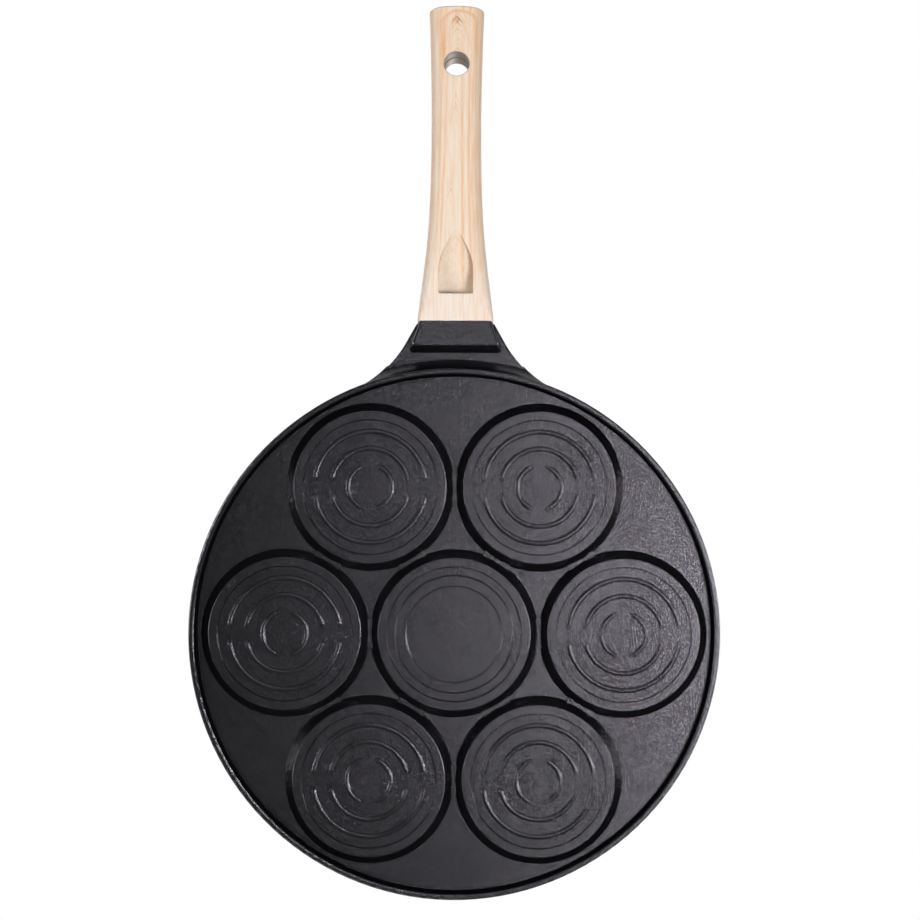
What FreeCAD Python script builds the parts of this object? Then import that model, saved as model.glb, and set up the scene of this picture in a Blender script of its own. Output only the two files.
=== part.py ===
"""A cast pancake pan with seven cups and a moulded handle, in millimetres.

The pan stands on its cup bottoms at z = 0, cooking side up. The origin is under the middle
of the centre cup, +Y points to the handle and +Z up. The handle and its screw are modelled
along a joint line that leaves the bracket's end face and climbs by the handle's rise.
"""
import FreeCAD, Part
import math
import os
import Sketcher

SIZES = {
    # The round casting, in section from its axis outwards
    "pan_radius": 133.0,
    "skirt_land": 2.7,
    "skirt_wall": 3.9,
    "plate_under": 7.4,
    "plate_top": 10.4,
    "lip_flare": 0.8,
    "lip_top": 16.6,
    "lip_land": 2.4,
    "lip_wall": 4.6,
    "lip_round": 1.0,
    "skirt_round": 0.9,
    # The seven cups
    "cup_margin": 2.0,
    "cup_gap": 0.2,
    "cup_slope": 4.15,
    "cup_wall": 1.35,
    "cup_floor": 3.2,
    "mouth_wall": 1.9,
    "foot_round": 0.6,
    "mouth_round": 1.1,
    "cavity_round": 2.4,
    # The low webs between neighbouring cups
    "web_length": 14.5,
    "web_width": 3.6,
    "web_level": 6.1,
    # The relief under each cup
    "relief_rim": 4.15,
    "relief_depth": 0.8,
    "relief_slope": 0.5,
    "ring_width": 4.5,
    "ridge_width": 1.3,
    "ridge_gap": 6.6,
    "ridge_draft": 30.0,
    "ridge_root": 0.2,
    "ridge_drop": 0.15,
    # The bracket, seen from above, outwards from the pan's edge
    "bracket_length": 22.3,
    "bracket_width": 41.7,
    "bracket_taper": 1.1,
    "bracket_draft": 3.5,
    "shoulder_width": 52.2,
    "shoulder_out": 12.6,
    "flare_sag": 1.9,
    # The bracket and its pad from the side, back along the joint line from its end face
    "rise": 10.5,
    "joint_height": 14.4,
    "pad_length": 12.7,
    "pad_inset": 3.1,
    "pad_flare": 4.6,
    "pad_draft": 1.4,
    "pad_sink": 0.8,
    "step_length": 2.2,
    "step_height": 7.1,
    "neck_reach": 34.0,
    "neck_fall": 3.2,
    "neck_top": 4.0,
    "pad_round": 1.3,
    "pad_corner": 1.8,
    "bracket_round": 1.2,
    "blend_reach": 5.6,
    "blend_start": 2.0,
    "blend_end": 9.3,
    "blend_hollow": 1.2,
    # The handle
    "handle_length": 166.5,
    "grip_depth": 19.4,
    "grip_bow": 1.4,
    "grip_round": 6.6,
    "joint_corner": 2.2,
    "joint_round": 0.8,
    "end_half": 20.0,
    "end_sag": 3.0,
    "end_round": 1.1,
    "width_at_joint": 38.4,
    "neck_at": 22.0,
    "width_at_neck": 33.6,
    "taper_at": 43.0,
    "width_at_taper": 29.2,
    "waist_at": 74.0,
    "width_at_waist": 26.0,
    "grip_at": 106.0,
    "width_at_grip": 25.4,
    "hang_at": 138.0,
    "width_at_hang": 26.4,
    "width_at_end": 28.6,
    # The hanging hole
    "hole_from_end": 31.0,
    "hole_radius": 6.4,
    "hole_waist": 5.9,
    "waist_height": 1.6,
    "hole_bevel": 0.5,
    # The screw recess under the handle, and the socket for the bracket's spigot
    "recess_at": 14.6,
    "recess_length": 32.4,
    "recess_width": 17.6,
    "recess_depth": 12.0,
    "recess_sag": 1.4,
    "recess_corner": 1.0,
    "spigot_width": 20.0,
    "spigot_depth": 10.0,
    "spigot_length": 4.2,
    "spigot_gap": 0.3,
    # The screw and its washer
    "seat_at": 8.2,
    "screw_radius": 2.5,
    "screw_length": 20.0,
    "head_radius": 4.3,
    "head_height": 3.0,
    "slot_width": 1.2,
    "slot_depth": 1.3,
    "washer_height": 1.2,
    "washer_split": 0.9,
    "head_gap": 0.4,
    "screw_gap": 0.2,
    "thread_gap": 0.05,
}
# Sizes that follow from those above, so that the cups, ridges and bracket fit any pan
FOLLOWING = {
    "skirt_root": "pan_radius - skirt_wall",
    "lip_radius": "pan_radius + lip_flare",
    "plate_edge": "pan_radius - lip_wall",
    "cup_pitch": "skirt_root/1.5 - cup_margin/1.5 + cup_gap/3",
    "cup_root": "cup_pitch/2 - cup_gap/2",
    "cup_foot": "cup_root - cup_slope",
    "cavity_foot": "cup_foot - cup_wall",
    "cavity_mouth": "cup_root - mouth_wall",
    "relief_radius": "cup_foot - relief_rim",
    "ring_outer": "relief_radius*0.853",
    "ring_inner": "ring_outer - ring_width",
    "ridge_outer": "relief_radius*0.82",
    "ridge_middle": "relief_radius*0.57",
    "ridge_inner": "relief_radius*0.324",
    "flare_width": "pan_radius/1.4",
    "flare_back": "pan_radius/14.8",
    "flare_mid_width": "flare_width/2 + shoulder_width/2 - flare_sag*2",
    "flare_mid_out": "shoulder_out/2 - flare_back/2 - flare_sag/2",
    "axis_drop": "grip_depth/8.8",
}
# How far cutting outlines reach past the metal they cut, and half the width of the widest cuts
OVER = "2.0"
WIDE = "80.0"
CUP_ANGLES = range(0, 360, 60)

doc = FreeCAD.newDocument("pancake_pan")
sheet = doc.addObject("Spreadsheet::Sheet", "Sizes")
for row, (alias, value) in enumerate(SIZES.items(), start=1):
    sheet.set(f"A{row}", alias)
    sheet.set(f"B{row}", str(value))
    sheet.setAlias(f"B{row}", alias)
for row, (alias, terms) in enumerate(FOLLOWING.items(), start=len(SIZES) + 1):
    sheet.set(f"A{row}", alias)
    sheet.set(f"B{row}", "=" + terms)
    sheet.setAlias(f"B{row}", alias)
doc.recompute()


def amount(text):
    """The value of a sum of sizes, such as 'pan_radius - skirt_land/2'."""
    total = 0.0
    sign = 1
    for word in text.split():
        if word in ("+", "-"):
            sign = 1 if word == "+" else -1
            continue
        word, _, divisor = word.partition("/")
        name, _, factor = word.partition("*")
        if name in FOLLOWING:
            term = amount(FOLLOWING[name])
        else:
            term = SIZES[name] if name in SIZES else float(name)
        total += sign * term * float(factor or 1) / float(divisor or 1)
    return total


def bound(text):
    """The same sum as an expression on the sheet."""
    return " ".join("Sizes." + word if word[0].isalpha() else word for word in text.split())


def origin_part(body, role):
    """The body's own origin plane or axis with this role."""
    return next(each for each in body.Origin.OriginFeatures if each.Role == role)


def new_body(name):
    body = doc.addObject("PartDesign::Body", name)
    body.Label = name
    return body


def new_sketch(body, name, role, **offset):
    """A sketch on one of the body's origin planes, moved and turned on it by expressions."""
    sketch = body.newObject("Sketcher::SketchObject", name)
    sketch.AttachmentSupport = [(origin_part(body, role), "")]
    sketch.MapMode = "FlatFace"
    for axis, expression in offset.items():
        path = "Rotation.Angle" if axis == "angle" else f"Base.{axis}"
        sketch.setExpression(f"AttachmentOffset.{path}", expression)
    return sketch


def hold(sketch, kind, *places, size):
    """A constraint whose value is bound to the sheet."""
    index = sketch.addConstraint(Sketcher.Constraint(kind, *places, amount(size)))
    sketch.setExpression(f"Constraints[{index}]", bound(size))


def pin(sketch, geo, end, x, y):
    """Holds one end of an edge at sizes x and y from the sketch's origin."""
    for axis, kind, size in ((-2, "DistanceX", x), (-1, "DistanceY", y)):
        if size == "0":
            sketch.addConstraint(Sketcher.Constraint("PointOnObject", geo, end, axis))
        else:
            hold(sketch, kind, -1, 1, geo, end, size=size)


def spot(corner):
    return FreeCAD.Vector(amount(corner[0]), amount(corner[1]), 0)


def outline(sketch, corners):
    """A closed outline through corners given by sizes. A third entry is an arc's middle."""
    first = sketch.GeometryCount
    count = len(corners)
    for index, corner in enumerate(corners):
        start, end = spot(corner), spot(corners[(index + 1) % count])
        if len(corner) == 3:
            sketch.addGeometry(Part.Arc(start, spot(corner[2]), end))
        else:
            sketch.addGeometry(Part.LineSegment(start, end))
    for index, corner in enumerate(corners):
        before = first + (index - 1) % count
        here = first + index
        # A clockwise arc is stored from its far end
        start = 1 if sketch.getPoint(here, 1).isEqual(spot(corner), 1e-6) else 2
        end = 2 if sketch.getPoint(before, 2).isEqual(spot(corner), 1e-6) else 1
        sketch.addConstraint(Sketcher.Constraint("Coincident", before, end, here, start))
        pin(sketch, here, start, *corner[:2])
        if len(corner) == 3:
            middle = sketch.addGeometry(Part.Point(spot(corner[2])), True)
            sketch.addConstraint(Sketcher.Constraint("PointOnObject", middle, 1, here))
            pin(sketch, middle, 1, *corner[2])


def less(text):
    """The sum with every sign turned round."""
    return "0 - " + " ".join({"+": "-", "-": "+"}.get(word, word) for word in text.split())


def box_outline(sketch, x, y, half_width, half_depth):
    """A rectangle with its middle at x and y."""
    left, right = f"{x} {less(half_width)[2:]}", f"{x} + {half_width}"
    low, high = f"{y} {less(half_depth)[2:]}", f"{y} + {half_depth}"
    outline(sketch, [(left, low), (right, low), (right, high), (left, high)])


def round_outline(sketch, width, depth, corner):
    """A rectangle about the sketch's origin with rounded corners."""
    across, down, radius = amount(width) / 2, amount(depth) / 2, amount(corner)
    turns = ((1, -1, 270), (1, 1, 0), (-1, 1, 90), (-1, -1, 180))
    arcs = []
    for side, up, start in turns:
        centre = FreeCAD.Vector(side * (across - radius), up * (down - radius), 0)
        circle = Part.Circle(centre, FreeCAD.Vector(0, 0, 1), radius)
        arcs.append(Part.ArcOfCircle(circle, math.radians(start), math.radians(start + 90)))
    for index, arc in enumerate(arcs):
        sketch.addGeometry(Part.LineSegment(arcs[index - 1].EndPoint, arc.StartPoint))
        sketch.addGeometry(arc)
    for index in range(8):
        after = (index + 1) % 8
        sketch.addConstraint(Sketcher.Constraint("Tangent", index, 2, after, 1))
    for line, kind in ((0, "Horizontal"), (2, "Vertical"), (4, "Horizontal"), (6, "Vertical")):
        sketch.addConstraint(Sketcher.Constraint(kind, line))
    for arc in (3, 5, 7):
        sketch.addConstraint(Sketcher.Constraint("Equal", 1, arc))
    hold(sketch, "Radius", 1, size=corner)
    hold(sketch, "DistanceX", -1, 1, 2, 1, size=f"{width}/2")
    hold(sketch, "DistanceX", 6, 1, -1, 1, size=f"{width}/2")
    hold(sketch, "DistanceY", 0, 1, -1, 1, size=f"{depth}/2")
    hold(sketch, "DistanceY", -1, 1, 4, 1, size=f"{depth}/2")


def turn(body, name, corners, cut=False, **offset):
    """Turns an outline of radius and height about the upright axis of its sketch."""
    sketch = new_sketch(body, name + "_profile", "XZ_Plane", **offset)
    outline(sketch, corners)
    feature = body.newObject("PartDesign::Groove" if cut else "PartDesign::Revolution", name)
    feature.Profile = sketch
    feature.ReferenceAxis = (sketch, ["V_Axis"])
    feature.Angle = 360
    return feature


def pad(body, name, sketch, length, draft=None, both_ways=False):
    feature = body.newObject("PartDesign::Pad", name)
    feature.Profile = sketch
    feature.Midplane = both_ways
    feature.setExpression("Length", bound(length))
    if draft:
        feature.setExpression("TaperAngle", bound(draft))
    return feature


def pocket(body, name, sketch, length=None, both_ways=False, reverse=False):
    feature = body.newObject("PartDesign::Pocket", name)
    feature.Profile = sketch
    feature.Midplane = both_ways
    feature.Reversed = reverse
    if length:
        feature.setExpression("Length", bound(length))
    else:
        feature.Type = "ThroughAll"
    return feature


def around(body, name, features):
    """Six copies of the features about the pan's axis."""
    pattern = body.newObject("PartDesign::PolarPattern", name)
    pattern.Originals = features
    pattern.Axis = (origin_part(body, "Z_Axis"), [""])
    pattern.Angle = 360
    pattern.Occurrences = len(CUP_ANGLES)
    body.Tip = pattern
    return pattern


def soften(body, name, pick, size):
    """Rounds the edges that the pick function finds on the shape made so far."""
    doc.recompute()
    base = body.Tip
    wanted = pick(base.Shape)
    edges = enumerate(base.Shape.Edges, start=1)
    names = [f"Edge{n}" for n, edge in edges if any(edge.isSame(each) for each in wanted)]
    if not names:
        raise RuntimeError(name + " found no edge to round")
    feature = body.newObject("PartDesign::Fillet", name)
    feature.Base = (base, names)
    feature.setExpression("Radius", bound(size))
    return feature


def rings(radii, height, centres):
    """Picks circles of these radii at this height about the centres."""
    reaches = [amount(radius) for radius in radii]
    level = amount(height)

    def fits(edge):
        if not isinstance(edge.Curve, Part.Circle):
            return False
        circle = edge.Curve
        if abs(circle.Center.z - level) > 1e-4:
            return False
        if min(abs(circle.Radius - reach) for reach in reaches) > 1e-4:
            return False
        return any(math.hypot(circle.Center.x - x, circle.Center.y - y) < 1e-3 for x, y in centres)

    return lambda shape: [edge for edge in shape.Edges if fits(edge)]


def face_loops(wanted):
    """Picks the edges of every face whose box passes a test."""
    return lambda shape: [edge for face in shape.Faces if wanted(face.BoundBox) for edge in face.Edges]


def cup_centres():
    pitch = amount("cup_pitch")
    angles = [math.radians(angle) for angle in CUP_ANGLES]
    return [(0.0, 0.0)] + [(pitch * math.cos(angle), pitch * math.sin(angle)) for angle in angles]


def plate(body):
    """The round plate with the lip above it and the skirt below."""
    turn(body, "plate", [
        ("0", "plate_under"),
        ("skirt_root", "plate_under"),
        ("pan_radius - skirt_land", "0"),
        ("pan_radius", "0"),
        ("lip_radius", "lip_top"),
        ("lip_radius - lip_land", "lip_top"),
        ("plate_edge", "plate_top"),
        ("0", "plate_top"),
    ])


def cups(body):
    """Seven hollow cups that hang from the plate, each with a shallow relief underneath."""
    bottom = [
        ("0", "0"),
        ("cup_foot", "0"),
        ("cup_root", "plate_under"),
        ("0", "plate_under + relief_depth"),
    ]
    hollow = [
        ("0", "cup_floor"),
        ("cavity_foot", "cup_floor"),
        ("cavity_mouth", "plate_top"),
        ("cavity_mouth", "plate_top + " + OVER),
        ("0", "plate_top + " + OVER),
    ]
    relief = [
        ("0", "relief_depth"),
        ("relief_radius - relief_slope", "relief_depth"),
        ("relief_radius", "0"),
        ("relief_radius", "0 - " + OVER),
        ("0", "0 - " + OVER),
    ]
    centre_relief = [
        ("0", "relief_depth"),
        ("ring_inner - relief_depth", "relief_depth"),
        ("ring_inner", "0"),
        ("ring_inner", "0 - " + OVER),
        ("0", "0 - " + OVER),
    ]
    centre_groove = [
        ("ring_outer", "0"),
        ("ring_outer + relief_depth", "relief_depth"),
        ("relief_radius - relief_slope", "relief_depth"),
        ("relief_radius", "0"),
        ("relief_radius", "0 - " + OVER),
        ("ring_outer", "0 - " + OVER),
    ]
    outer = [
        turn(body, "cup", bottom, x="Sizes.cup_pitch"),
        turn(body, "cup_hollow", hollow, cut=True, x="Sizes.cup_pitch"),
        turn(body, "cup_relief", relief, cut=True, x="Sizes.cup_pitch"),
    ]
    around(body, "outer_cups", outer)
    turn(body, "centre_cup", bottom)
    turn(body, "centre_hollow", hollow, cut=True)
    turn(body, "centre_relief", centre_relief, cut=True)
    turn(body, "centre_groove", centre_groove, cut=True)


def webs(body):
    """A low web in each narrow place between two cups, under the plate."""
    inner = new_sketch(body, "inner_web_outline", "XY_Plane", z="Sizes.web_level")
    box_outline(inner, "cup_pitch/2", "0", "web_width/2", "web_length/2")
    outer = new_sketch(body, "outer_web_outline", "XY_Plane", z="Sizes.web_level", angle="30")
    outer.setExpression("AttachmentOffset.Base.x", "Sizes.cup_pitch * 0.75")
    outer.setExpression("AttachmentOffset.Base.y", "Sizes.cup_pitch * sin(60) / 2")
    box_outline(outer, "0", "0", "web_length/2", "web_width/2")
    thickness = "plate_under - web_level + relief_depth"
    around(body, "inner_webs", [pad(body, "inner_web", inner, thickness)])
    around(body, "outer_webs", [pad(body, "outer_web", outer, thickness)])


def ridge(sketch, radius, along):
    """Two raised arcs of a ring, with the gaps between them along one axis of the sketch."""
    middle, half = amount(radius), SIZES["ridge_width"] / 2
    shut = math.asin((SIZES["ridge_gap"] / 2 + half) / middle)
    for side in (0, 1):
        start = shut + math.pi * side + (0 if along == "x" else math.pi / 2)
        end = start + math.pi - 2 * shut
        first = sketch.GeometryCount
        up = FreeCAD.Vector(0, 0, 1)
        for reach in (middle + half, middle - half):
            circle = Part.Circle(FreeCAD.Vector(0, 0, 0), up, reach)
            sketch.addGeometry(Part.ArcOfCircle(circle, start, end))
        caps = ((end, end, end + math.pi), (start, start - math.pi, start))
        for at, low, high in caps:
            centre = FreeCAD.Vector(middle * math.cos(at), middle * math.sin(at), 0)
            circle = Part.Circle(centre, up, half)
            sketch.addGeometry(Part.ArcOfCircle(circle, low, high))
        outer, inner, far_cap, near_cap = range(first, first + 4)
        for arc in (outer, inner):
            sketch.addConstraint(Sketcher.Constraint("Coincident", arc, 3, -1, 1))
        joins = (
            (outer, 2, far_cap, 1),
            (inner, 2, far_cap, 2),
            (outer, 1, near_cap, 2),
            (inner, 1, near_cap, 1),
        )
        for join in joins:
            sketch.addConstraint(Sketcher.Constraint("Tangent", *join))
        hold(sketch, "Radius", outer, size=f"{radius} + ridge_width/2")
        hold(sketch, "Radius", inner, size=f"{radius} - ridge_width/2")
        kind = "DistanceY" if along == "x" else "DistanceX"
        for cap in (far_cap, near_cap):
            centre = sketch.getPoint(cap, 3)
            beyond = (centre.y if along == "x" else centre.x) > 0
            places = (-1, 1, cap, 3) if beyond else (cap, 3, -1, 1)
            hold(sketch, kind, *places, size="ridge_gap/2 + ridge_width/2")


def ridges(body):
    """The broken rings under the six outer cups, all lying the same way."""
    for number, angle in enumerate(CUP_ANGLES, start=1):
        sketch = new_sketch(
            body,
            f"ridge_outline_{number}",
            "XY_Plane",
            x=f"Sizes.cup_pitch * cos({angle})",
            y=f"Sizes.cup_pitch * sin({angle})",
            z="Sizes.ridge_drop",
        )
        ridge(sketch, "ridge_outer", "x")
        ridge(sketch, "ridge_middle", "x")
        ridge(sketch, "ridge_inner", "y")
        height = "relief_depth - ridge_drop + ridge_root"
        pad(body, f"ridges_{number}", sketch, height, draft="ridge_draft")


def pan_casting():
    """The round part of the casting, before the bracket joins it."""
    body = new_body("pan_casting")
    plate(body)
    cups(body)
    webs(body)
    centres = cup_centres()
    middle = centres[:1]
    soften(body, "foot_rounds", rings(["cup_foot"], "0", centres), "foot_round")
    soften(body, "mouth_rounds", rings(["cavity_mouth"], "plate_top", centres), "mouth_round")
    soften(body, "hollow_rounds", rings(["cavity_foot"], "cup_floor", centres), "cavity_round")
    lip = ["lip_radius", "lip_radius - lip_land"]
    soften(body, "lip_rounds", rings(lip, "lip_top", middle), "lip_round")
    skirt = ["pan_radius", "pan_radius - skirt_land"]
    soften(body, "skirt_rounds", rings(skirt, "0", middle), "skirt_round")
    ridges(body)
    return body


JOINT_AT = "pan_radius + bracket_length"


def joint_placement():
    """Where the handle meets the bracket, with +Y along the joint line."""
    turned = FreeCAD.Rotation(FreeCAD.Vector(1, 0, 0), SIZES["rise"])
    return FreeCAD.Placement(FreeCAD.Vector(0, amount(JOINT_AT), SIZES["joint_height"]), turned)


def bind_to_joint(body):
    """Moves a body that was modelled along the joint line to its place."""
    body.Placement = joint_placement()
    body.setExpression("Placement.Base.y", bound(JOINT_AT))
    body.setExpression("Placement.Base.z", bound("joint_height"))
    body.setExpression("Placement.Rotation.Angle", bound("rise"))


def bracket_arris(shape):
    """Picks the bracket's long edges, which lie in the plane of its underside or its top."""
    to_joint = joint_placement().inverse()
    under_level = amount("step_height - grip_depth/2")
    half = amount("grip_depth/2")
    slope = (half - amount("neck_top")) / amount("neck_reach")
    back = amount("pan_radius - flare_back")
    picked = []
    for edge in shape.Edges:
        spots = [edge.valueAt(p) for p in (edge.FirstParameter, edge.LastParameter)]
        spots.append(edge.CenterOfMass)
        if all(each.y < back + 1e-3 for each in spots):
            continue
        local = [to_joint.multVec(each) for each in spots]
        if all(abs(each.y) < 1e-3 for each in local):
            continue
        if all(abs(each.x) < amount("bracket_width/2") - 1e-3 for each in local):
            continue
        under = all(abs(each.z - under_level) < 1e-3 for each in local)
        over = all(abs(each.z - half - slope * each.y) < 1e-3 for each in local)
        if under or over:
            picked.append(edge)
    return picked


def bracket_plan(sketch):
    """The bracket's outline from above."""
    far = JOINT_AT + " + " + OVER
    middle = ("flare_mid_width/2", "pan_radius + flare_mid_out")
    outline(sketch, [
        ("flare_width/2", "pan_radius - flare_back", middle),
        ("shoulder_width/2", "pan_radius + shoulder_out"),
        ("bracket_width/2", JOINT_AT),
        ("bracket_width/2 - bracket_taper", far),
        ("bracket_taper - bracket_width/2", far),
        ("0 - bracket_width/2", JOINT_AT),
        ("0 - shoulder_width/2", "pan_radius + shoulder_out", ("0 - " + middle[0], middle[1])),
        ("0 - flare_width/2", "pan_radius - flare_back"),
    ])


def bracket_casting():
    """The bracket that grows out of the pan's edge."""
    body = new_body("bracket_casting")
    plan = new_sketch(body, "bracket_plan", "XY_Plane")
    bracket_plan(plan)
    pad(body, "bracket_block", plan, "joint_height + grip_depth", draft="0 - bracket_draft")
    side = new_sketch(
        body, "bracket_side", "YZ_Plane", x=bound(JOINT_AT), y=bound("joint_height"), angle=bound("rise")
    )
    box_outline(side, "0", "0", WIDE, WIDE)
    outline(side, [
        ("0", "step_height - grip_depth/2"),
        ("0", "grip_depth/2"),
        ("0 - neck_reach", "neck_top"),
        ("0 - neck_reach", "step_height + neck_fall - grip_depth/2"),
        ("0 - pad_length - step_length", "step_height - grip_depth/2"),
    ])
    pocket(body, "bracket_side_cut", side, f"{WIDE} + {WIDE}", both_ways=True)
    soften(body, "bracket_rounds", bracket_arris, "bracket_round")
    inside = "pan_radius - skirt_land/2"
    turn(body, "rim_blend", [
        (inside, "blend_start"),
        (
            "pan_radius", "blend_start",
            ("pan_radius + blend_reach/2 - blend_hollow", "blend_start/2 + blend_end/2 + blend_hollow"),
        ),
        ("pan_radius + blend_reach", "blend_end"),
        (inside, "blend_end"),
    ])
    beyond = new_sketch(body, "beyond_bracket", "XY_Plane")
    disc(beyond, "0", "pan_radius*2")
    bracket_plan(beyond)
    pocket(body, "beyond_cut", beyond, f"{WIDE} + {WIDE}", both_ways=True)
    root = new_sketch(body, "bracket_root", "XY_Plane")
    disc(root, "0", inside)
    pocket(body, "bracket_root_cut", root, reverse=True)
    return body


def bracket_pad():
    """The raised pad under the bracket that the handle butts against, with the spigot."""
    body = new_body("bracket_pad")
    near, far = "bracket_width/2 - pad_inset", "bracket_width/2 - pad_inset + pad_flare"
    face = new_sketch(body, "pad_face", "XY_Plane", z="-Sizes.grip_depth / 2")
    outline(face, [
        (less(near), "0"),
        (less(far), "0 - pad_length"),
        (far, "0 - pad_length"),
        (near, "0"),
    ])
    root = new_sketch(body, "pad_root", "XY_Plane", z="Sizes.step_height - Sizes.grip_depth / 2")
    wide_near, wide_far = near + " + pad_draft", far + " + pad_draft"
    outline(root, [
        (less(wide_near), "0"),
        (less(wide_far), "0 - pad_length - step_length"),
        (wide_far, "0 - pad_length - step_length"),
        (wide_near, "0"),
    ])
    loft = body.newObject("PartDesign::AdditiveLoft", "pad_block")
    loft.Profile = face
    loft.Sections = [root]
    loft.Ruled = True
    top = new_sketch(body, "pad_top", "XY_Plane", z="Sizes.step_height - Sizes.grip_depth / 2")
    half_length = "pad_length/2 + step_length/2"
    box_outline(top, "0", less(half_length), near, half_length)
    pad(body, "pad_core", top, "pad_sink")
    soften(body, "pad_corners", pad_corners, "pad_corner")
    soften(body, "pad_rounds", pad_edges, "pad_round")
    spigot = station_sketch(body, "spigot_outline", "0", lifted=False)
    box_outline(spigot, "0", "0 - axis_drop", "spigot_width/2", "spigot_depth/2")
    pad(body, "spigot", spigot, "spigot_length").Reversed = True
    bind_to_joint(body)
    return body


def pad_corners(shape):
    """Picks the two edges that climb from the pad's far corners."""
    high, low = amount("step_height - grip_depth/2"), amount("0 - grip_depth/2")
    back = amount("0 - pad_length")
    ends = [[v.Point for v in edge.Vertexes] for edge in shape.Edges]
    return [
        edge for edge, points in zip(shape.Edges, ends)
        if max(p.y for p in points) < back + 1e-3
        and abs(max(p.z for p in points) - high) < 1e-3
        and abs(min(p.z for p in points) - low) < 1e-3
    ]


def pad_edges(shape):
    """Picks the edges round the pad's face, apart from the one at the handle."""
    level = amount("0 - grip_depth/2")
    return [
        edge for edge in shape.Edges
        if all(abs(v.Point.z - level) < 1e-3 for v in edge.Vertexes)
        and min(v.Point.y for v in edge.Vertexes) < -1e-3
    ]


def screw_bore():
    """The screw's hole in the casting, as the solid that cuts it."""
    body = new_body("screw_bore")
    bore = station_sketch(body, "bore_outline", "0", lifted=False)
    disc(bore, "0 - axis_drop", "screw_radius + thread_gap")
    reach = "screw_length - seat_at - washer_height + head_gap"
    pad(body, "bore", bore, f"{reach} + {reach}", both_ways=True)
    bind_to_joint(body)
    return body


def disc(sketch, y, radius):
    """A circle on the sketch's vertical axis."""
    circle = Part.Circle(FreeCAD.Vector(0, amount(y), 0), FreeCAD.Vector(0, 0, 1), amount(radius))
    index = sketch.addGeometry(circle)
    pin(sketch, index, 3, "0", y)
    hold(sketch, "Radius", index, size=radius)


def bowed(station):
    """How far the handle's middle line is lifted at a station, as an expression."""
    share = f"({bound(station)}) / Sizes.handle_length"
    return f"4 * Sizes.grip_bow * {share} * (1 - {share})"


def station_sketch(body, name, station, lifted=True):
    """A sketch across the handle at a station."""
    back = f"-({bound(station)})"
    if lifted:
        return new_sketch(body, name, "XZ_Plane", z=back, y=bowed(station))
    return new_sketch(body, name, "XZ_Plane", z=back)


def grip(body):
    """The handle's outside, lofted through sections from the joint to the far end."""
    stations = (
        ("0", "width_at_joint", "joint_corner"),
        ("neck_at", "width_at_neck", "joint_corner + grip_round/2"),
        ("taper_at", "width_at_taper", "grip_round"),
        ("waist_at", "width_at_waist", "grip_round"),
        ("grip_at", "width_at_grip", "grip_round"),
        ("hang_at", "width_at_hang", "grip_round"),
        ("handle_length + " + OVER, "width_at_end", "grip_round"),
    )
    sections = []
    for number, (station, width, corner) in enumerate(stations):
        sketch = station_sketch(body, f"grip_section_{number}", station)
        round_outline(sketch, width, "grip_depth", corner)
        sections.append(sketch)
    loft = body.newObject("PartDesign::AdditiveLoft", "grip")
    loft.Profile = sections[0]
    loft.Sections = sections[1:]
    loft.Ruled = False
    end = new_sketch(body, "end_outline", "XY_Plane")
    outline(end, [
        ("0 - end_half", "handle_length - end_sag", ("0", "handle_length")),
        ("end_half", "handle_length - end_sag"),
        ("end_half", "handle_length + end_half"),
        ("0 - end_half", "handle_length + end_half"),
    ])
    pocket(body, "end_cut", end, f"{WIDE} + {WIDE}", both_ways=True)
    far_end = amount("handle_length - end_sag")
    soften(body, "end_rounds", face_loops(lambda box: box.YMin > far_end - 0.01), "end_round")
    soften(body, "joint_rounds", face_loops(lambda box: box.YMax < 0.01), "joint_round")


def hanging_hole(body):
    """The hole near the far end, with a narrower waist halfway through."""
    face = "grip_depth/2"
    turn(
        body,
        "hanging_hole",
        [
            ("0", f"0 - {face} - {OVER}"),
            (f"hole_radius + hole_bevel + {OVER}", f"0 - {face} - {OVER}"),
            ("hole_radius", f"hole_bevel - {face}"),
            ("hole_radius", "0 - waist_height"),
            ("hole_waist", "0 - waist_height/2"),
            ("hole_waist", "waist_height/2"),
            ("hole_radius", "waist_height"),
            ("hole_radius", f"{face} - hole_bevel"),
            (f"hole_radius + hole_bevel + {OVER}", f"{face} + {OVER}"),
            ("0", f"{face} + {OVER}"),
        ],
        cut=True,
        z="-(Sizes.handle_length - Sizes.hole_from_end)",
        y=bowed("handle_length - hole_from_end"),
    )


def screw_recess(body):
    """The scoop under the handle that lets a driver reach the screw."""
    # How far along, how wide and how deep each section is, as shares of the whole scoop
    stations = (
        (0, 1, 1),
        (0.23, 1, 0.74),
        (0.47, 0.97, 0.49),
        (0.69, 0.74, 0.29),
        (0.87, 0.4, 0.12),
        (1, 0.16, 0.03),
    )
    sections = []
    for number, (along, width, depth) in enumerate(stations):
        station = f"recess_at + recess_length*{along}"
        sketch = station_sketch(body, f"recess_section_{number}", station)
        low = "0 - grip_depth"
        half = f"recess_width*{width / 2}"
        top = f"recess_depth*{depth} - grip_depth/2"
        shoulder = f"{top} - recess_sag*{min(depth, width)}"
        outline(sketch, [
            (less(half), low),
            (half, low),
            (half, shoulder, ("0", top)),
            (less(half), shoulder),
        ])
        sections.append(sketch)
    scoop = body.newObject("PartDesign::SubtractiveLoft", "screw_recess")
    scoop.Profile = sections[0]
    scoop.Sections = sections[1:]
    scoop.Ruled = False
    soften(body, "recess_corners", recess_corners, "recess_corner")


def recess_corners(shape):
    """Picks the scoop's two upright edges at its end wall."""
    wall, half = amount("recess_at"), amount("recess_width/2")
    return [
        edge for edge in shape.Edges
        if all(abs(v.Point.y - wall) < 1e-3 and abs(abs(v.Point.x) - half) < 1e-3 for v in edge.Vertexes)
        and edge.Length > 1.0
    ]


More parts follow.
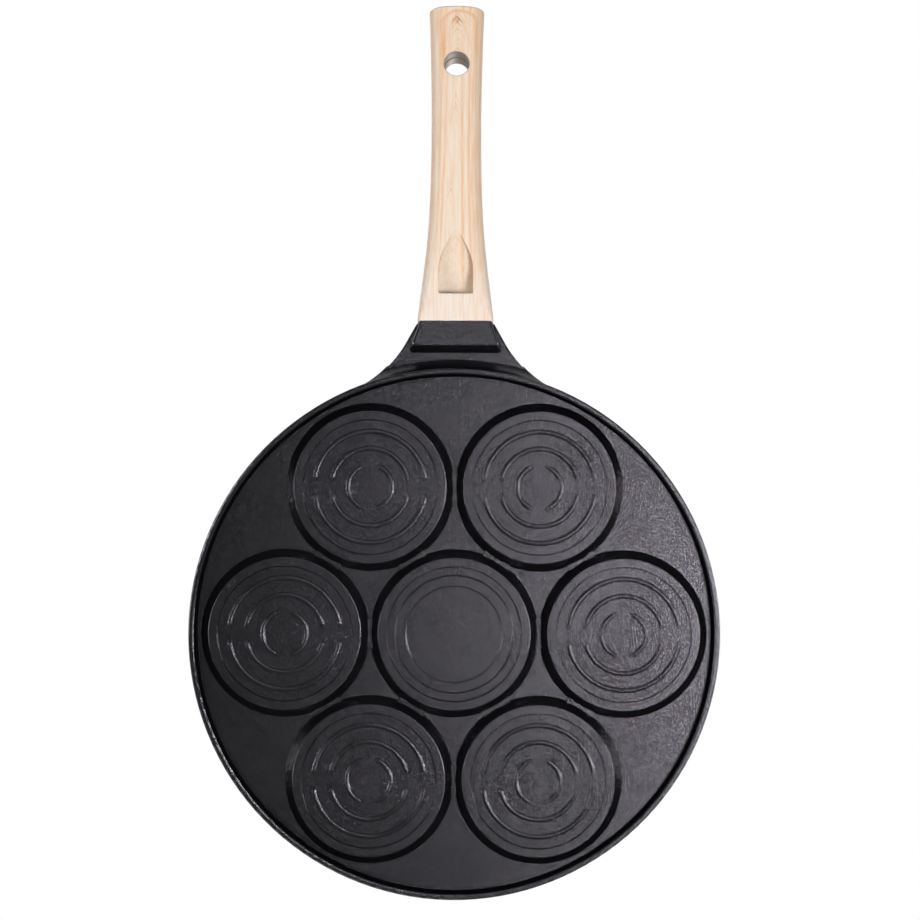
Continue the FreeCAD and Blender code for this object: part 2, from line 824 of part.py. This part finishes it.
def screw_way(body):
    """The spigot's socket, the screw's clearance hole and the sunk seat for its head."""
    socket = station_sketch(body, "socket_outline", "0", lifted=False)
    half_width, half_depth = "spigot_width/2 + spigot_gap", "spigot_depth/2 + spigot_gap"
    box_outline(socket, "0", "0 - axis_drop", half_width, half_depth)
    pocket(body, "socket", socket, "spigot_length + spigot_gap")
    hole = station_sketch(body, "screw_hole_outline", "0", lifted=False)
    disc(hole, "0 - axis_drop", "screw_radius + screw_gap")
    pocket(body, "screw_hole", hole, "recess_at")
    seat = station_sketch(body, "head_seat_outline", "seat_at", lifted=False)
    disc(seat, "0 - axis_drop", "head_radius + head_gap")
    pocket(body, "head_seat", seat, "recess_at - seat_at")


def handle():
    body = new_body("handle")
    grip(body)
    hanging_hole(body)
    screw_recess(body)
    screw_way(body)
    bind_to_joint(body)
    return body


def handle_screw():
    """A pan-head screw with a crossed recess, along the spigot's axis."""
    body = new_body("handle_screw")
    under = "seat_at + washer_height"
    tip = f"{under} - screw_length"
    sketch = new_sketch(body, "screw_profile", "XY_Plane", z="-Sizes.axis_drop")
    outline(sketch, [
        ("0", tip),
        ("screw_radius - thread_gap - screw_gap", tip),
        ("screw_radius", f"{tip} + head_gap"),
        ("screw_radius", under),
        ("head_radius", under),
        ("head_radius", f"{under} + head_height/2"),
        ("head_radius - head_height/4", f"{under} + head_height"),
        ("0", f"{under} + head_height"),
    ])
    screw = body.newObject("PartDesign::Revolution", "screw")
    screw.Profile = sketch
    screw.ReferenceAxis = (sketch, ["V_Axis"])
    screw.Angle = 360
    top = f"{under} + head_height"
    arms = (("slot_width/2", "head_radius/2"), ("head_radius/2", "slot_width/2"))
    for number, (across, down) in enumerate(arms):
        slot = station_sketch(body, f"slot_outline_{number}", top, lifted=False)
        box_outline(slot, "0", "0 - axis_drop", across, down)
        pocket(body, f"slot_{number}", slot, "slot_depth", reverse=True)
    bind_to_joint(body)
    return body


def spring_washer():
    """The split washer under the screw's head."""
    body = new_body("spring_washer")
    sketch = new_sketch(body, "washer_profile", "XY_Plane", z="-Sizes.axis_drop")
    outline(sketch, [
        ("screw_radius + thread_gap", "seat_at"),
        ("head_radius", "seat_at"),
        ("head_radius", "seat_at + washer_height"),
        ("screw_radius + thread_gap", "seat_at + washer_height"),
    ])
    washer = body.newObject("PartDesign::Revolution", "washer")
    washer.Profile = sketch
    washer.ReferenceAxis = (sketch, ["V_Axis"])
    washer.Angle = 360
    split = station_sketch(body, "split_outline", "seat_at", lifted=False)
    box_outline(split, "head_radius", "0 - axis_drop", "head_radius", "washer_split/2")
    pocket(body, "split", split, "washer_height")
    bind_to_joint(body)
    return body


def pan_body():
    """The whole casting: the round pan and its bracket, with the screw's hole."""
    fuse = doc.addObject("Part::MultiFuse", "pan_and_bracket")
    fuse.Shapes = [pan_casting(), bracket_casting(), bracket_pad()]
    cut = doc.addObject("Part::Cut", "pan_body")
    cut.Label = "pan_body"
    cut.Base = fuse
    cut.Tool = screw_bore()
    cut.Refine = True
    return cut


nodes = [pan_body(), handle(), handle_screw(), spring_washer()]
doc.recompute()
for obj in doc.Objects:
    if "Invalid" in obj.State or "Error" in obj.State:
        raise RuntimeError(f"{obj.Name} failed: {obj.State}")
for node in nodes:
    if node.Shape.isNull() or not node.Shape.isValid() or len(node.Shape.Solids) != 1:
        raise RuntimeError(f"{node.Label} isn't one valid solid")
os.makedirs("parts", exist_ok=True)
for node in nodes:
    node.Shape.exportStep(f"parts/{node.Label}.step")
    box = node.Shape.BoundBox
    lengths = [round(length, 1) for length in (box.XLength, box.YLength, box.ZLength)]
    print(node.Label, round(node.Shape.Volume), *lengths)
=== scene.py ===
"""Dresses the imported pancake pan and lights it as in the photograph.

The photograph shows the pan's underside, so the camera stands below the pan and looks straight
up. The floor is there only for eyes above it and lets all other light through.
"""

import math

import bpy
from mathutils import Matrix, Vector


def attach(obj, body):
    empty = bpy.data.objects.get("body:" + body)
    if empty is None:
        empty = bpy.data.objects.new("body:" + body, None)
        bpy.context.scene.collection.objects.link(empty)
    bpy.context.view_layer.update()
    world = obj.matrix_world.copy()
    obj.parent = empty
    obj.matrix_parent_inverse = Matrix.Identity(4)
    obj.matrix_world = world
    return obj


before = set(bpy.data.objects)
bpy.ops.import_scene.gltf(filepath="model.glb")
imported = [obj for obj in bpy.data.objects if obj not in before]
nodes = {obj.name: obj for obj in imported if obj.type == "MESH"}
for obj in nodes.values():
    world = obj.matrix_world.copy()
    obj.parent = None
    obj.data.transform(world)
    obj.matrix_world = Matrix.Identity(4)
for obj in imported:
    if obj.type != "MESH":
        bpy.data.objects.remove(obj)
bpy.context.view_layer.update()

MM = 0.001
# The handle as in the part's source: the middle of its joint, then its rise, its length, its
# hanging hole and half its width at stations along it, in millimetres
JOINT = Vector((0.0, 155.3, 14.4)) * MM
RISE = math.radians(10.5)
HANDLE_LENGTH = 166.5
HOLE_AT = HANDLE_LENGTH - 31.0
HOLE_RADIUS = 6.4
HALF_WIDTHS = (
    (0, 19.2), (22, 16.8), (43, 14.6), (74, 13.0), (106, 12.7), (138, 13.2), (HANDLE_LENGTH, 14.3),
)
# The curve of half widths runs from 0 to this
WIDEST = 20.0
# The painted shade in the screw recess is full between these heights, this far to each side and up to
# this station
RECESS_LOW = -7.4
RECESS_HIGH = 5.0
RECESS_HALF = 9.0
RECESS_END = 46.0
# The grain's straight lines: where across the handle, as a share of its half width, and how dark.
# They are faint up to the first station and full past the second
LINES = (
    (-1.0, 0.7), (-0.94, 0.75), (-0.87, 0.4), (-0.8, 0.2), (-0.75, 0.12), (-0.69, 0.6), (-0.62, 0.15),
    (-0.56, 0.35), (-0.52, 0.75), (-0.46, 0.2), (-0.3, 0.12), (-0.1, 0.2), (0.04, 0.08), (0.15, 0.12),
    (0.22, 0.85), (0.29, 0.4), (0.37, 0.04), (0.44, 0.3), (0.5, 0.95), (0.56, 0.4), (0.62, 0.5),
    (0.68, 0.6), (0.73, 0.35), (0.78, 0.85), (0.83, 0.4), (0.88, 0.5), (0.93, 0.65), (0.98, 0.4),
)
FAINT_TO = 5.0
FULL_FROM = 55.0
# The inner line that leans in towards the hole: from and to where along, where across, and how
# far it moves
LEAN_FROM = 60.0
LEAN_TO = 128.0
LEAN_SIDE = -0.42
LEAN = -0.13
# The arch at the far end: where it sets in, its shoulder and height, its middle and half width
ARCH_FROM = 118.0
ARCH_TO = 146.0
ARCH_SHOULDER = 157.5
ARCH_HEIGHT = 6.2
ARCH_MIDDLE = 0.05
ARCH_HALF = 0.69
# Small pointed figures: where across and how wide, where along and how long
FIGURES = ((-0.2, 0.2, 72.0, 14.0), (-0.03, 0.3, 112.0, 14.0))
# The knot: where across, and where along its roof and its dot lie
KNOT_SIDE = 0.02
KNOT_ROOF = 160.3
KNOT_DOT = 157.9
# The wood is palest at the pan and has its own colour from this station on
PALE_TO = 60.0
# Colours, as they show on the screen
COAT = (12, 12, 14)
WOOD_NEAR = (229, 215, 203)
WOOD_FAR = (229, 212, 194)
GRAIN_LINE = (220, 170, 124)
KNOT = (176, 130, 90)
# Bare plastic, darkened further as painted shade, for the wall of the hanging hole
HOLE_WALL_BARE_AND_SHADED = (146, 132, 121)
# Painted shade, multiplied into the wood inside the screw recess
RECESS_PAINTED_SHADE = (244, 242, 236)
STEEL_DARK = (150, 150, 153)
STEEL_PALE = (205, 205, 208)
# The coat: the scales of its grain, specks and patches, then the size of a normal's Z where its
# sheen sets in and where it is full
COAT_GRAIN = 1500.0
COAT_SPECKS = 2200.0
COAT_PATCHES = 45.0
UPRIGHT = 0.2
FLAT = 0.7
# The six outer cups and the ridges under them as in the part's source, in millimetres
CUP_PITCH = 84.8
RELIEF_DEPTH = 0.8
RIDGE_RADII = (27.9, 19.4, 11.0)
# The rounded bead over a ridge: the gap in its ring, half its width and its height, in
# millimetres, and how many steps its mesh takes along it and across it
BEAD_GAP = 7.9
BEAD_HALF = 1.3
BEAD_CROWN = 0.78
STEPS_ALONG = 72
STEPS_ACROSS = 14
# Brightness of the surroundings: on dull surfaces, and in reflections towards the ground
AMBIENT = 0.2
DIM_BELOW = 0.05
# The floor reaches this far to each side, and fades to white between these distances, in metres
FLOOR_REACH = 12.0
FADE_FROM = 0.5
FADE_TO = 2.2
# Where the lamps point, and the camera's place, lens and roll
AIM = Vector((0.0, 0.08, 0.01))
CAMERA_AT = Vector((-2.55, 87.2, -1300.0)) * MM
LENS = 101.74
ROLL = math.radians(0.25)


def linear(*shades):
    """A colour written as it shows on the screen, in the renderer's linear values."""
    parts = [shade / 255 for shade in shades]
    return [part / 12.92 if part <= 0.04045 else ((part + 0.055) / 1.055) ** 2.4 for part in parts]


class Nodes:
    """A node tree, built a step at a time."""

    def __init__(self, tree):
        self.tree = tree

    def add(self, kind, inputs=None, **settings):
        node = self.tree.nodes.new(kind)
        for name, value in settings.items():
            setattr(node, name, value)
        for name, value in (inputs or {}).items():
            self.feed(node.inputs[name], value)
        return node

    def feed(self, socket, value):
        if isinstance(value, bpy.types.NodeSocket):
            self.tree.links.new(value, socket)
        elif socket.type == "RGBA" and len(value) == 3:
            socket.default_value = [*value, 1.0]
        else:
            socket.default_value = value

    def math(self, operation, *values, clamp=False):
        inputs = dict(enumerate(values))
        return self.add("ShaderNodeMath", inputs, operation=operation, use_clamp=clamp).outputs[0]

    def vector(self, operation, *values):
        outputs = self.add("ShaderNodeVectorMath", dict(enumerate(values)), operation=operation).outputs
        return outputs["Value" if operation == "LENGTH" else "Vector"]

    def between(self, value, low, high):
        """0 below low, 1 above high and smooth in between."""
        inputs = {"Value": value, "From Min": low, "From Max": high}
        return self.add("ShaderNodeMapRange", inputs, interpolation_type="SMOOTHSTEP").outputs[0]

    def peak(self, value, middle, reach):
        """1 at the middle, falling to 0 at this reach on both sides."""
        off = self.math("DIVIDE", self.math("SUBTRACT", value, middle), reach)
        return self.math("SUBTRACT", 1.0, self.math("MULTIPLY", off, off), clamp=True)

    def noise(self, vector, scale, detail=2.0, roughness=0.5):
        inputs = {"Vector": vector, "Scale": scale, "Detail": detail, "Roughness": roughness}
        return self.add("ShaderNodeTexNoise", inputs).outputs["Fac"]

    def ramp(self, value, stops):
        node = self.add("ShaderNodeValToRGB", {"Fac": value})
        points = node.color_ramp.elements
        while len(points) < len(stops):
            points.new(0.5)
        for point, (place, colour) in zip(points, stops):
            point.position = place
            point.color = [*colour, 1.0]
        return node.outputs["Color"]

    def mix(self, share, first, second, blend="MIX"):
        node = self.add("ShaderNodeMix", data_type="RGBA", blend_type=blend)
        self.feed(node.inputs[0], share)
        self.feed(node.inputs[6], first)
        self.feed(node.inputs[7], second)
        return node.outputs[2]

    def bump(self, height, distance, strength):
        inputs = {"Height": height, "Distance": distance, "Strength": strength}
        return self.add("ShaderNodeBump", inputs).outputs["Normal"]


class Shader(Nodes):
    """A node material on its object's own space."""

    def __init__(self, name):
        self.material = bpy.data.materials.new(name)
        self.material.use_nodes = True
        super().__init__(self.material.node_tree)
        self.surface = self.tree.nodes["Principled BSDF"]
        coordinates = self.add("ShaderNodeTexCoord").outputs
        self.object_space = coordinates["Object"]
        self.normal = coordinates["Normal"]

    def set(self, **values):
        for name, value in values.items():
            self.feed(self.surface.inputs[name.replace("_", " ")], value)


def coating():
    """The dark non-stick coat: sprayed, so it glitters in fine pale and dark specks. Upright
    walls have no sheen, as in the photograph."""
    shader = Shader("coating")
    where = shader.object_space
    grain = shader.noise(where, COAT_GRAIN, roughness=0.6)
    specks = shader.between(shader.noise(where, COAT_SPECKS, detail=1.0), 0.3, 0.7)
    patches = shader.noise(where, COAT_PATCHES, detail=3.0)
    facing = shader.add("ShaderNodeSeparateXYZ", {"Vector": shader.normal}).outputs["Z"]
    # Painted shade: the sheen fades out on upright walls, so they come out dark as if in shade
    level = shader.between(shader.math("ABSOLUTE", facing), UPRIGHT, FLAT)
    shine = shader.math("MULTIPLY", level, shader.math("MULTIPLY_ADD", specks, 0.8, 0.16))
    shader.set(
        Base_Color=linear(*COAT),
        Roughness=shader.math("MULTIPLY_ADD", patches, 0.04, 0.21),
        Specular_IOR_Level=shine,
        Specular_Tint=(0.93, 0.89, 1.0),
        Normal=shader.bump(grain, 0.00016, 1.0),
    )
    return shader.material


def handle_space(shader):
    """Place on the handle in millimetres, and where across it as a share of its half width."""
    inputs = {"Vector": shader.object_space, "Location": JOINT, "Rotation": (RISE, 0, 0), "Scale": (MM,) * 3}
    local = shader.add("ShaderNodeMapping", inputs, vector_type="TEXTURE").outputs[0]
    across, along, height = shader.add("ShaderNodeSeparateXYZ", {"Vector": local}).outputs
    curve = shader.add("ShaderNodeFloatCurve", {"Value": shader.math("DIVIDE", along, HANDLE_LENGTH)})
    points = curve.mapping.curves[0].points
    while len(points) < len(HALF_WIDTHS):
        points.new(0.5, 0.5)
    for point, (station, half) in zip(points, HALF_WIDTHS):
        point.location = (station / HANDLE_LENGTH, half / WIDEST)
    curve.mapping.update()
    half = shader.math("MULTIPLY", curve.outputs[0], -WIDEST)
    return local, across, along, height, shader.math("DIVIDE", across, half)


def wood_look():
    """Moulded plastic with a printed wood grain: straight lines that follow the handle's flare,
    an arch with a small knot at the far end, and two small pointed figures on the way there."""
    shader = Shader("wood_look")
    local, across, along, height, side = handle_space(shader)

    def streaks(scale, stretch, detail):
        drawn = shader.vector("MULTIPLY", local, (1.0, stretch, 1.0))
        return shader.noise(drawn, scale, detail=detail)

    def pointed(middle, spread, power, scale):
        """Lines that climb on both sides to a point on the line at this side share."""
        off = shader.math("ABSOLUTE", shader.math("SUBTRACT", side, middle))
        shaky = shader.math("MULTIPLY_ADD", streaks(0.5, 0.5, 2.0), 3.0, along)
        climb = shader.math("MULTIPLY_ADD", shader.math("POWER", off, power), spread, shaky)
        inputs = {"W": climb, "Scale": scale, "Detail": 2.0}
        lines = shader.add("ShaderNodeTexNoise", inputs, noise_dimensions="1D").outputs["Fac"]
        return shader.between(lines, 0.42, 0.68)

    # Straight lines, fainter near the pan; the left inner one leans in towards the hole
    wander = shader.math("MULTIPLY_ADD", streaks(0.12, 0.15, 2.0), 0.06, -0.03)
    leaning = shader.between(along, LEAN_FROM, LEAN_TO)
    lean = shader.math("MULTIPLY", leaning, shader.peak(side, LEAN_SIDE, 0.3))
    moved = shader.math("MULTIPLY_ADD", lean, LEAN, shader.math("ADD", side, wander))
    stops = [(place / 2 + 0.5, (darkness,) * 3) for place, darkness in LINES]
    lines = shader.ramp(shader.math("MULTIPLY_ADD", moved, 0.5, 0.5), stops)
    strength = shader.math("MULTIPLY_ADD", shader.between(along, FAINT_TO, FULL_FROM), 0.56, 0.34)
    dark = shader.math("MULTIPLY", lines, strength)

    # The arch: round over the top, straight down both sides, with nested lines inside
    over = shader.math("MAXIMUM", shader.math("SUBTRACT", along, ARCH_SHOULDER), 0.0)
    past = shader.math("DIVIDE", over, ARCH_HEIGHT)
    off = shader.math("DIVIDE", shader.math("SUBTRACT", moved, ARCH_MIDDLE), ARCH_HALF)
    squares = shader.math("ADD", shader.math("POWER", off, 2.0), shader.math("POWER", past, 2.0))
    ring = shader.math("SQRT", squares)
    far = shader.between(along, ARCH_FROM, ARCH_TO)
    band = shader.math("MULTIPLY", shader.peak(ring, 0.98, 0.2), far)
    inside = shader.math("MULTIPLY", far, shader.between(ring, 1.0, 0.86))
    nested = shader.math("MULTIPLY_ADD", pointed(0.03, 45.0, 1.7, 1.0), 0.75, 0.1)
    dark = shader.math("ADD", dark, shader.math("MULTIPLY", inside, shader.math("SUBTRACT", nested, dark)))
    dark = shader.math("MAXIMUM", dark, shader.math("MULTIPLY", band, 0.85))

    # The pointed figures: halfway along, and just below the hole
    for middle, reach, station, length in FIGURES:
        here = shader.math("MULTIPLY", shader.peak(side, middle, reach), shader.peak(along, station, length))
        figure = shader.math("MULTIPLY", here, pointed(middle, 60.0, 1.2, 0.6))
        dark = shader.math("MAXIMUM", dark, shader.math("MULTIPLY", figure, 0.75))

    # Fine streaks and flecks over it all
    fine = shader.math("MULTIPLY_ADD", streaks(1.2, 0.05, 3.0), 1.4, -0.72)
    flecks = shader.math("MULTIPLY", shader.between(streaks(2.6, 0.18, 1.0), 0.62, 0.8), 0.2)
    dark = shader.math("ADD", dark, shader.math("ADD", fine, flecks), clamp=True)
    pale = shader.mix(shader.between(along, 0.0, PALE_TO), linear(*WOOD_NEAR), linear(*WOOD_FAR))
    colour = shader.mix(dark, pale, linear(*GRAIN_LINE))

    # The knot: a small roof with a dot under it
    slope = shader.math("MULTIPLY_ADD", shader.math("ABSOLUTE", side), 14.0, along)
    roof = shader.math("MULTIPLY", shader.peak(slope, KNOT_ROOF, 1.1), shader.peak(side, KNOT_SIDE, 0.26))
    dot = shader.math("MULTIPLY", shader.peak(side, KNOT_SIDE, 0.08), shader.peak(along, KNOT_DOT, 0.9))
    knot = shader.math("MAXIMUM", roof, dot)
    colour = shader.mix(shader.math("MULTIPLY", knot, 0.8), colour, linear(*KNOT))

    # Inside the hanging hole the plastic is bare, and its colour is darkened further as painted shade for
    # the hole
    from_hole = shader.vector("SUBTRACT", local, (0.0, HOLE_AT, 0.0))
    reach = shader.vector("LENGTH", shader.vector("MULTIPLY", from_hole, (1.0, 1.0, 0.0)))
    bare_and_shaded = shader.between(reach, HOLE_RADIUS + 0.35, HOLE_RADIUS + 0.1)
    colour = shader.mix(bare_and_shaded, colour, linear(*HOLE_WALL_BARE_AND_SHADED))

    # Painted shade: inside the screw recess the wood is made a shade darker
    above = shader.between(height, RECESS_LOW - 1.4, RECESS_LOW)
    below = shader.between(height, RECESS_HIGH + 1.0, RECESS_HIGH)
    within = shader.between(shader.math("ABSOLUTE", across), RECESS_HALF + 0.4, RECESS_HALF)
    before = shader.between(along, RECESS_END + 6.0, RECESS_END)
    deep = shader.math("MULTIPLY", above, below)
    painted_recess_shade = shader.math("MULTIPLY", shader.math("MULTIPLY", deep, within), before)
    colour = shader.mix(painted_recess_shade, colour, linear(*RECESS_PAINTED_SHADE), blend="MULTIPLY")
    grain = shader.math("MULTIPLY_ADD", dark, -0.5, 0.5)
    shader.set(
        Base_Color=colour,
        Roughness=0.5,
        Specular_IOR_Level=0.35,
        Normal=shader.bump(grain, 0.00004, 0.3),
    )
    return shader.material


def steel():
    """Brushed steel, for the screw and its washer."""
    shader = Shader("steel")
    scratches = shader.noise(shader.object_space, 2500.0)
    shader.set(
        Base_Color=shader.mix(scratches, linear(*STEEL_DARK), linear(*STEEL_PALE)),
        Metallic=1.0,
        Roughness=0.34,
        Normal=shader.bump(scratches, 0.00002, 0.3),
    )
    return shader.material


def dress(name, material):
    """Gives a CAD node its material."""
    mesh = nodes[name].data
    mesh.materials.clear()
    mesh.materials.append(material)


def bead(middle, radius, gaps_across):
    """The corners and faces of two rounded beads that make one broken ring."""
    shut = math.asin(BEAD_GAP / 2 / radius)
    corners, faces = [], []
    for side in (0, 1):
        start = math.pi * side + (0 if gaps_across else math.pi / 2) + shut
        sweep = math.pi - 2 * shut
        first = len(corners)
        for i in range(STEPS_ALONG + 1):
            # Steps crowd at the ends, where the bead rounds off
            share = (1 - math.cos(math.pi * i / STEPS_ALONG)) / 2
            angle = start + sweep * share
            from_end = radius * sweep * min(share, 1 - share)
            close = 1 - min(from_end / BEAD_HALF, 1.0)
            full = math.sqrt(max(1 - close * close, 0.0))
            for j in range(STEPS_ACROSS + 1):
                out = math.cos(math.pi * j / STEPS_ACROSS)
                rise = BEAD_CROWN * full * (1 - abs(out) ** 2.2) ** 0.6
                reach = radius + BEAD_HALF * full * out
                corners.append((
                    (middle[0] + reach * math.cos(angle)) * MM,
                    (middle[1] + reach * math.sin(angle)) * MM,
                    (RELIEF_DEPTH - rise) * MM,
                ))
        for i in range(STEPS_ALONG):
            for j in range(STEPS_ACROSS):
                low = first + i * (STEPS_ACROSS + 1) + j
                faces.append((low, low + 1, low + STEPS_ACROSS + 2, low + STEPS_ACROSS + 1))
    return corners, faces


def ridges(material):
    """The rounded ridges that stand on the reliefs of the six outer cups."""
    corners, faces = [], []
    for turn in range(0, 360, 60):
        angle = math.radians(turn)
        middle = (CUP_PITCH * math.cos(angle), CUP_PITCH * math.sin(angle))
        for number, radius in enumerate(RIDGE_RADII):
            more, loops = bead(middle, radius, gaps_across=number < 2)
            faces += [tuple(len(corners) + corner for corner in loop) for loop in loops]
            corners += more
    mesh = bpy.data.meshes.new("ridges")
    mesh.from_pydata(corners, [], faces)
    mesh.validate()
    mesh.shade_smooth()
    mesh.materials.append(material)
    piece = bpy.data.objects.new("ridges", mesh)
    bpy.context.scene.collection.objects.link(piece)
    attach(piece, "root")


def floor():
    """A pale floor that shows only to a camera above it."""
    side = FLOOR_REACH
    mesh = bpy.data.meshes.new("floor")
    corners = [(-side, -side, 0), (side, -side, 0), (side, side, 0), (-side, side, 0)]
    mesh.from_pydata(corners, [], [(0, 1, 2, 3)])
    ground = bpy.data.objects.new("floor", mesh)
    # Just under the pan, so that the two don't share a plane
    ground.location.z = -0.0002
    bpy.context.scene.collection.objects.link(ground)
    shader = Shader("floor")
    tree = shader.tree
    tree.nodes.remove(shader.surface)
    paint = shader.add("ShaderNodeBsdfDiffuse", {"Color": (0.86, 0.86, 0.86)})
    glow = shader.add("ShaderNodeEmission", {"Color": (1.0, 1.0, 1.0), "Strength": 1.0})
    far = shader.between(shader.vector("LENGTH", shader.object_space), FADE_FROM, FADE_TO)
    shown = shader.add("ShaderNodeMixShader", {0: far, 1: paint.outputs[0], 2: glow.outputs[0]})
    clear = shader.add("ShaderNodeBsdfTransparent")
    eye = shader.add("ShaderNodeLightPath").outputs["Is Camera Ray"]
    behind = shader.add("ShaderNodeNewGeometry").outputs["Backfacing"]
    seen = shader.math("MULTIPLY", eye, shader.math("SUBTRACT", 1.0, behind))
    both = shader.add("ShaderNodeMixShader", {0: seen, 1: clear.outputs[0], 2: shown.outputs[0]})
    tree.links.new(both.outputs[0], tree.nodes["Material Output"].inputs["Surface"])
    mesh.materials.append(shader.material)


def surroundings():
    """White to the camera and in reflections, but dim where the pan's underside looks."""
    world = bpy.data.worlds.new("surroundings")
    bpy.context.scene.world = world
    world.use_nodes = True
    shader = Nodes(world.node_tree)
    path = shader.add("ShaderNodeLightPath").outputs
    direction = shader.add("ShaderNodeTexCoord").outputs["Generated"]
    height = shader.add("ShaderNodeSeparateXYZ", {"Vector": direction}).outputs["Z"]
    level = shader.math("MULTIPLY_ADD", shader.between(height, -0.5, -0.05), 1.0 - DIM_BELOW, DIM_BELOW)
    mirrored = shader.math("MAXIMUM", path["Is Glossy Ray"], path["Is Transmission Ray"])
    strength = shader.math("MULTIPLY_ADD", shader.math("SUBTRACT", level, AMBIENT), mirrored, AMBIENT)
    strength = shader.math("MAXIMUM", strength, path["Is Camera Ray"])
    background = world.node_tree.nodes["Background"].inputs
    shader.feed(background["Strength"], strength)
    shader.feed(background["Color"], (1.0, 1.0, 1.0))


def lamp(name, place, size, power, dull=True, glossy=True):
    """A soft square lamp that points at the object; it can be left out on dull or glossy surfaces."""
    light = bpy.data.lights.new(name, "AREA")
    light.size = size
    light.energy = power
    holder = bpy.data.objects.new(name, light)
    holder.location = place
    toward = AIM - holder.location
    holder.rotation_euler = toward.to_track_quat("-Z", "Y").to_euler()
    holder.visible_camera = False
    holder.visible_diffuse = dull
    holder.visible_glossy = glossy
    bpy.context.scene.collection.objects.link(holder)


def camera():
    """Straight below the pan, with the handle at the top of the picture."""
    data = bpy.data.cameras.new("camera")
    data.sensor_width = 36.0
    data.lens = LENS
    data.clip_start = 0.05
    data.clip_end = 60.0
    holder = bpy.data.objects.new("camera", data)
    turned = Matrix.Rotation(math.pi, 4, "Y") @ Matrix.Rotation(ROLL, 4, "Z")
    holder.matrix_world = Matrix.Translation(CAMERA_AT) @ turned
    bpy.context.scene.collection.objects.link(holder)
    bpy.context.scene.camera = holder


camera()
coat = coating()
dress("pan_body", coat)
ridges(coat)
dress("handle", wood_look())
metal = steel()
dress("handle_screw", metal)
dress("spring_washer", metal)
floor()
surroundings()
lamp("below_main", (-0.51, -0.03, -1.22), 0.3, 13.5)
lamp("below_handle", (-0.1, 0.7, -1.2), 0.5, 2.7, dull=False)
lamp("below_near_end", (0.3, -0.6, -1.2), 0.4, 0.4, dull=False)
lamp("below_right", (-1.3, 0.1, -0.5), 0.4, 22.0, dull=False)
lamp("below_left", (1.3, 0.1, -0.5), 0.4, 12.0, dull=False)
lamp("below_fill", (0.9, 0.2, -1.0), 0.6, 8.5, glossy=False)
lamp("above_main", (-0.8, -0.9, 1.5), 1.0, 24.0)
lamp("above_fill", (1.2, 0.6, 1.2), 1.0, 6.0)
bpy.context.scene.view_settings.view_transform = "Standard"
